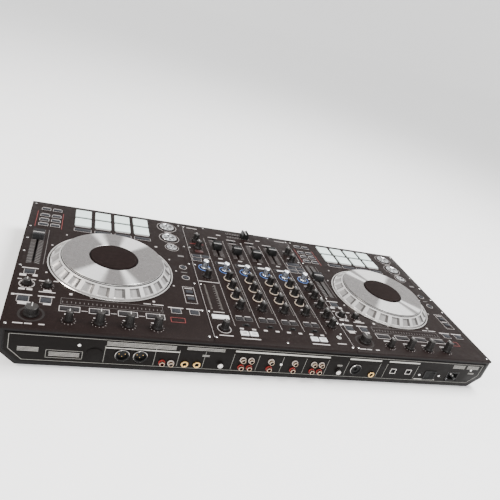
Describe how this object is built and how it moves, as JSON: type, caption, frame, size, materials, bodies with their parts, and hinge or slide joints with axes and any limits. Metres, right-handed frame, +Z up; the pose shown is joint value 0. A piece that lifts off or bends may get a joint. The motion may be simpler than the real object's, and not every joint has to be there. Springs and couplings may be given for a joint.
{
  "type": "dj controller",
  "caption": "Black full-size DJ controller with a central mixer between two matching decks, silver jog wheels, pale pads, chrome buttons, knobs, faders and rear sockets.",
  "frame": {"origin": "centre of the footprint, on the surface that the unit stands on", "axes": "+X is the unit's right from the user's seat, +Y runs to the rear face with the sockets, +Z is up"},
  "size_m": [0.876, 0.427, 0.0917],
  "materials": {
    "case": "satin",
    "top_plate": "satin",
    "rear_panel": "satin",
    "circuit_board": "matte",
    "supply_can": "brushed",
    "jog_ring": "satin",
    "jog_metal": "brushed",
    "display_glass": "gloss",
    "pad_silicone": "matte",
    "key_plastic": "satin",
    "knob_black": "matte",
    "colour_knob": "satin",
    "fader_cap": "matte",
    "tempo_cap": "satin",
    "chrome": "polished",
    "rocker_plastic": "gloss"
  },
  "bodies": {
    "chassis": {"bottom_case": "case", "left_deck_plate": "top_plate", "mixer_plate": "top_plate", "right_deck_plate": "top_plate", "rear_panel": "rear_panel", "main_board": "circuit_board", "power_supply": "supply_can", "left_jog_base": "jog_ring", "right_jog_base": "jog_ring", "left_jog_display": "display_glass", "right_jog_display": "display_glass"},
    "left_jog_wheel": {"left_jog_wheel": "jog_metal"},
    "left_rotary_selector": {"left_rotary_selector": "knob_black"},
    "left_effect_knob_1": {"left_effect_knob_1": "knob_black"},
    "left_effect_knob_2": {"left_effect_knob_2": "knob_black"},
    "left_effect_knob_3": {"left_effect_knob_3": "knob_black"},
    "left_effect_knob_4": {"left_effect_knob_4": "knob_black"},
    "left_tempo_fader": {"left_tempo_fader": "tempo_cap"},
    "left_cue_button": {"left_cue_button": "chrome"},
    "left_play_button": {"left_play_button": "chrome"},
    "left_pad_mat": {"left_pad_mat": "pad_silicone"},
    "left_deck_keys": {"left_deck_keys": "key_plastic"},
    "right_jog_wheel": {"right_jog_wheel": "jog_metal"},
    "right_rotary_selector": {"right_rotary_selector": "knob_black"},
    "right_effect_knob_1": {"right_effect_knob_1": "knob_black"},
    "right_effect_knob_2": {"right_effect_knob_2": "knob_black"},
    "right_effect_knob_3": {"right_effect_knob_3": "knob_black"},
    "right_effect_knob_4": {"right_effect_knob_4": "knob_black"},
    "right_tempo_fader": {"right_tempo_fader": "tempo_cap"},
    "right_cue_button": {"right_cue_button": "chrome"},
    "right_play_button": {"right_play_button": "chrome"},
    "right_pad_mat": {"right_pad_mat": "pad_silicone"},
    "right_deck_keys": {"right_deck_keys": "key_plastic"},
    "mixer_keys": {"mixer_keys": "key_plastic"},
    "trim_knob_1": {"trim_knob_1": "knob_black"},
    "high_knob_1": {"high_knob_1": "knob_black"},
    "mid_knob_1": {"mid_knob_1": "knob_black"},
    "low_knob_1": {"low_knob_1": "knob_black"},
    "colour_knob_1": {"colour_knob_1": "colour_knob"},
    "trim_knob_2": {"trim_knob_2": "knob_black"},
    "high_knob_2": {"high_knob_2": "knob_black"},
    "mid_knob_2": {"mid_knob_2": "knob_black"},
    "low_knob_2": {"low_knob_2": "knob_black"},
    "colour_knob_2": {"colour_knob_2": "colour_knob"},
    "trim_knob_3": {"trim_knob_3": "knob_black"},
    "high_knob_3": {"high_knob_3": "knob_black"},
    "mid_knob_3": {"mid_knob_3": "knob_black"},
    "low_knob_3": {"low_knob_3": "knob_black"},
    "colour_knob_3": {"colour_knob_3": "colour_knob"},
    "trim_knob_4": {"trim_knob_4": "knob_black"},
    "high_knob_4": {"high_knob_4": "knob_black"},
    "mid_knob_4": {"mid_knob_4": "knob_black"},
    "low_knob_4": {"low_knob_4": "knob_black"},
    "colour_knob_4": {"colour_knob_4": "colour_knob"},
    "channel_fader_1": {"channel_fader_1": "fader_cap"},
    "channel_fader_2": {"channel_fader_2": "fader_cap"},
    "channel_fader_3": {"channel_fader_3": "fader_cap"},
    "channel_fader_4": {"channel_fader_4": "fader_cap"},
    "crossfader": {"crossfader": "fader_cap"},
    "power_switch": {"power_switch": "rocker_plastic"}
  },
  "joints": [
    {"name": "left_jog_wheel_spin", "type": "hinge", "parent": "chassis", "child": "left_jog_wheel", "pos_m": [-0.2773, 0.0188, 0.0697], "axis": [0, 0, 1], "continuous": true},
    {"name": "left_rotary_selector_spin", "type": "hinge", "parent": "chassis", "child": "left_rotary_selector", "pos_m": [-0.16129, 0.175, 0.0697], "axis": [0, 0, 1], "continuous": true},
    {"name": "left_effect_knob_1_turn", "type": "hinge", "parent": "chassis", "child": "left_effect_knob_1", "pos_m": [-0.34208, 0.18401, 0.0697], "axis": [0, 0, 1], "range_deg": [-150, 150]},
    {"name": "left_effect_knob_2_turn", "type": "hinge", "parent": "chassis", "child": "left_effect_knob_2", "pos_m": [-0.29888, 0.18401, 0.0697], "axis": [0, 0, 1], "range_deg": [-150, 150]},
    {"name": "left_effect_knob_3_turn", "type": "hinge", "parent": "chassis", "child": "left_effect_knob_3", "pos_m": [-0.25572, 0.18401, 0.0697], "axis": [0, 0, 1], "range_deg": [-150, 150]},
    {"name": "left_effect_knob_4_spin", "type": "hinge", "parent": "chassis", "child": "left_effect_knob_4", "pos_m": [-0.21252, 0.18401, 0.0697], "axis": [0, 0, 1], "continuous": true},
    {"name": "left_tempo_fader_slide", "type": "slide", "parent": "chassis", "child": "left_tempo_fader", "axis": [0, 1, 0], "range_m": [-0.041, 0.059]},
    {"name": "left_cue_button_press", "type": "slide", "parent": "chassis", "child": "left_cue_button", "axis": [0, 0, 1], "range_m": [-0.001, 0], "stiffness_N_per_m": 1200, "springref_m": 0.001},
    {"name": "left_play_button_press", "type": "slide", "parent": "chassis", "child": "left_play_button", "axis": [0, 0, 1], "range_m": [-0.001, 0], "stiffness_N_per_m": 1200, "springref_m": 0.001},
    {"name": "left_pad_mat_press", "type": "slide", "parent": "chassis", "child": "left_pad_mat", "axis": [0, 0, 1], "range_m": [-0.0008, 0], "stiffness_N_per_m": 6000, "springref_m": 0.0008},
    {"name": "left_deck_keys_press", "type": "slide", "parent": "chassis", "child": "left_deck_keys", "axis": [0, 0, 1], "range_m": [-0.0005, 0], "stiffness_N_per_m": 16000, "springref_m": 0.0008},
    {"name": "right_jog_wheel_spin", "type": "hinge", "parent": "chassis", "child": "right_jog_wheel", "pos_m": [0.2846, 0.0188, 0.0697], "axis": [0, 0, 1], "continuous": true},
    {"name": "right_rotary_selector_spin", "type": "hinge", "parent": "chassis", "child": "right_rotary_selector", "pos_m": [0.40061, 0.175, 0.0697], "axis": [0, 0, 1], "continuous": true},
    {"name": "right_effect_knob_1_turn", "type": "hinge", "parent": "chassis", "child": "right_effect_knob_1", "pos_m": [0.21982, 0.18401, 0.0697], "axis": [0, 0, 1], "range_deg": [-150, 150]},
    {"name": "right_effect_knob_2_turn", "type": "hinge", "parent": "chassis", "child": "right_effect_knob_2", "pos_m": [0.26302, 0.18401, 0.0697], "axis": [0, 0, 1], "range_deg": [-150, 150]},
    {"name": "right_effect_knob_3_turn", "type": "hinge", "parent": "chassis", "child": "right_effect_knob_3", "pos_m": [0.30618, 0.18401, 0.0697], "axis": [0, 0, 1], "range_deg": [-150, 150]},
    {"name": "right_effect_knob_4_spin", "type": "hinge", "parent": "chassis", "child": "right_effect_knob_4", "pos_m": [0.34938, 0.18401, 0.0697], "axis": [0, 0, 1], "continuous": true},
    {"name": "right_tempo_fader_slide", "type": "slide", "parent": "chassis", "child": "right_tempo_fader", "axis": [0, 1, 0], "range_m": [-0.018, 0.082]},
    {"name": "right_cue_button_press", "type": "slide", "parent": "chassis", "child": "right_cue_button", "axis": [0, 0, 1], "range_m": [-0.001, 0], "stiffness_N_per_m": 1200, "springref_m": 0.001},
    {"name": "right_play_button_press", "type": "slide", "parent": "chassis", "child": "right_play_button", "axis": [0, 0, 1], "range_m": [-0.001, 0], "stiffness_N_per_m": 1200, "springref_m": 0.001},
    {"name": "right_pad_mat_press", "type": "slide", "parent": "chassis", "child": "right_pad_mat", "axis": [0, 0, 1], "range_m": [-0.0008, 0], "stiffness_N_per_m": 6000, "springref_m": 0.0008},
    {"name": "right_deck_keys_press", "type": "slide", "parent": "chassis", "child": "right_deck_keys", "axis": [0, 0, 1], "range_m": [-0.0005, 0], "stiffness_N_per_m": 16000, "springref_m": 0.0008},
    {"name": "mixer_keys_press", "type": "slide", "parent": "chassis", "child": "mixer_keys", "axis": [0, 0, 1], "range_m": [-0.0005, 0], "stiffness_N_per_m": 16000, "springref_m": 0.0008},
    {"name": "trim_knob_1_turn", "type": "hinge", "parent": "chassis", "child": "trim_knob_1", "pos_m": [-0.06524, 0.10598, 0.0697], "axis": [0, 0, 1], "range_deg": [-150, 150]},
    {"name": "high_knob_1_turn", "type": "hinge", "parent": "chassis", "child": "high_knob_1", "pos_m": [-0.06524, 0.07301, 0.0697], "axis": [0, 0, 1], "range_deg": [-150, 150]},
    {"name": "mid_knob_1_turn", "type": "hinge", "parent": "chassis", "child": "mid_knob_1", "pos_m": [-0.06524, 0.04202, 0.0697], "axis": [0, 0, 1], "range_deg": [-150, 150]},
    {"name": "low_knob_1_turn", "type": "hinge", "parent": "chassis", "child": "low_knob_1", "pos_m": [-0.06524, 0.01099, 0.0697], "axis": [0, 0, 1], "range_deg": [-150, 150]},
    {"name": "colour_knob_1_turn", "type": "hinge", "parent": "chassis", "child": "colour_knob_1", "pos_m": [-0.06524, -0.01999, 0.0697], "axis": [0, 0, 1], "range_deg": [-150, 150]},
    {"name": "trim_knob_2_turn", "type": "hinge", "parent": "chassis", "child": "trim_knob_2", "pos_m": [-0.02175, 0.10598, 0.0697], "axis": [0, 0, 1], "range_deg": [-150, 150]},
    {"name": "high_knob_2_turn", "type": "hinge", "parent": "chassis", "child": "high_knob_2", "pos_m": [-0.02175, 0.07301, 0.0697], "axis": [0, 0, 1], "range_deg": [-150, 150]},
    {"name": "mid_knob_2_turn", "type": "hinge", "parent": "chassis", "child": "mid_knob_2", "pos_m": [-0.02175, 0.04202, 0.0697], "axis": [0, 0, 1], "range_deg": [-150, 150]},
    {"name": "low_knob_2_turn", "type": "hinge", "parent": "chassis", "child": "low_knob_2", "pos_m": [-0.02175, 0.01099, 0.0697], "axis": [0, 0, 1], "range_deg": [-150, 150]},
    {"name": "colour_knob_2_turn", "type": "hinge", "parent": "chassis", "child": "colour_knob_2", "pos_m": [-0.02175, -0.01999, 0.0697], "axis": [0, 0, 1], "range_deg": [-150, 150]},
    {"name": "trim_knob_3_turn", "type": "hinge", "parent": "chassis", "child": "trim_knob_3", "pos_m": [0.02175, 0.10598, 0.0697], "axis": [0, 0, 1], "range_deg": [-150, 150]},
    {"name": "high_knob_3_turn", "type": "hinge", "parent": "chassis", "child": "high_knob_3", "pos_m": [0.02175, 0.07301, 0.0697], "axis": [0, 0, 1], "range_deg": [-150, 150]},
    {"name": "mid_knob_3_turn", "type": "hinge", "parent": "chassis", "child": "mid_knob_3", "pos_m": [0.02175, 0.04202, 0.0697], "axis": [0, 0, 1], "range_deg": [-150, 150]},
    {"name": "low_knob_3_turn", "type": "hinge", "parent": "chassis", "child": "low_knob_3", "pos_m": [0.02175, 0.01099, 0.0697], "axis": [0, 0, 1], "range_deg": [-150, 150]},
    {"name": "colour_knob_3_turn", "type": "hinge", "parent": "chassis", "child": "colour_knob_3", "pos_m": [0.02175, -0.01999, 0.0697], "axis": [0, 0, 1], "range_deg": [-150, 150]},
    {"name": "trim_knob_4_turn", "type": "hinge", "parent": "chassis", "child": "trim_knob_4", "pos_m": [0.06524, 0.10598, 0.0697], "axis": [0, 0, 1], "range_deg": [-150, 150]},
    {"name": "high_knob_4_turn", "type": "hinge", "parent": "chassis", "child": "high_knob_4", "pos_m": [0.06524, 0.07301, 0.0697], "axis": [0, 0, 1], "range_deg": [-150, 150]},
    {"name": "mid_knob_4_turn", "type": "hinge", "parent": "chassis", "child": "mid_knob_4", "pos_m": [0.06524, 0.04202, 0.0697], "axis": [0, 0, 1], "range_deg": [-150, 150]},
    {"name": "low_knob_4_turn", "type": "hinge", "parent": "chassis", "child": "low_knob_4", "pos_m": [0.06524, 0.01099, 0.0697], "axis": [0, 0, 1], "range_deg": [-150, 150]},
    {"name": "colour_knob_4_turn", "type": "hinge", "parent": "chassis", "child": "colour_knob_4", "pos_m": [0.06524, -0.01999, 0.0697], "axis": [0, 0, 1], "range_deg": [-150, 150]},
    {"name": "channel_fader_1_slide", "type": "slide", "parent": "chassis", "child": "channel_fader_1", "axis": [0, 1, 0], "range_m": [-0.01512, 0.03888]},
    {"name": "channel_fader_2_slide", "type": "slide", "parent": "chassis", "child": "channel_fader_2", "axis": [0, 1, 0], "range_m": [-0.03996, 0.01404]},
    {"name": "channel_fader_3_slide", "type": "slide", "parent": "chassis", "child": "channel_fader_3", "axis": [0, 1, 0], "range_m": [-0.03402, 0.01998]},
    {"name": "channel_fader_4_slide", "type": "slide", "parent": "chassis", "child": "channel_fader_4", "axis": [0, 1, 0], "range_m": [-0.02484, 0.02916]},
    {"name": "crossfader_slide", "type": "slide", "parent": "chassis", "child": "crossfader", "axis": [1, 0, 0], "range_m": [-0.00675, 0.03825]},
    {"name": "power_switch_tip", "type": "hinge", "parent": "chassis", "child": "power_switch", "pos_m": [-0.308, 0.2071, 0.027], "axis": [0, 0, 1], "range_deg": [0, 14]}
  ]
}
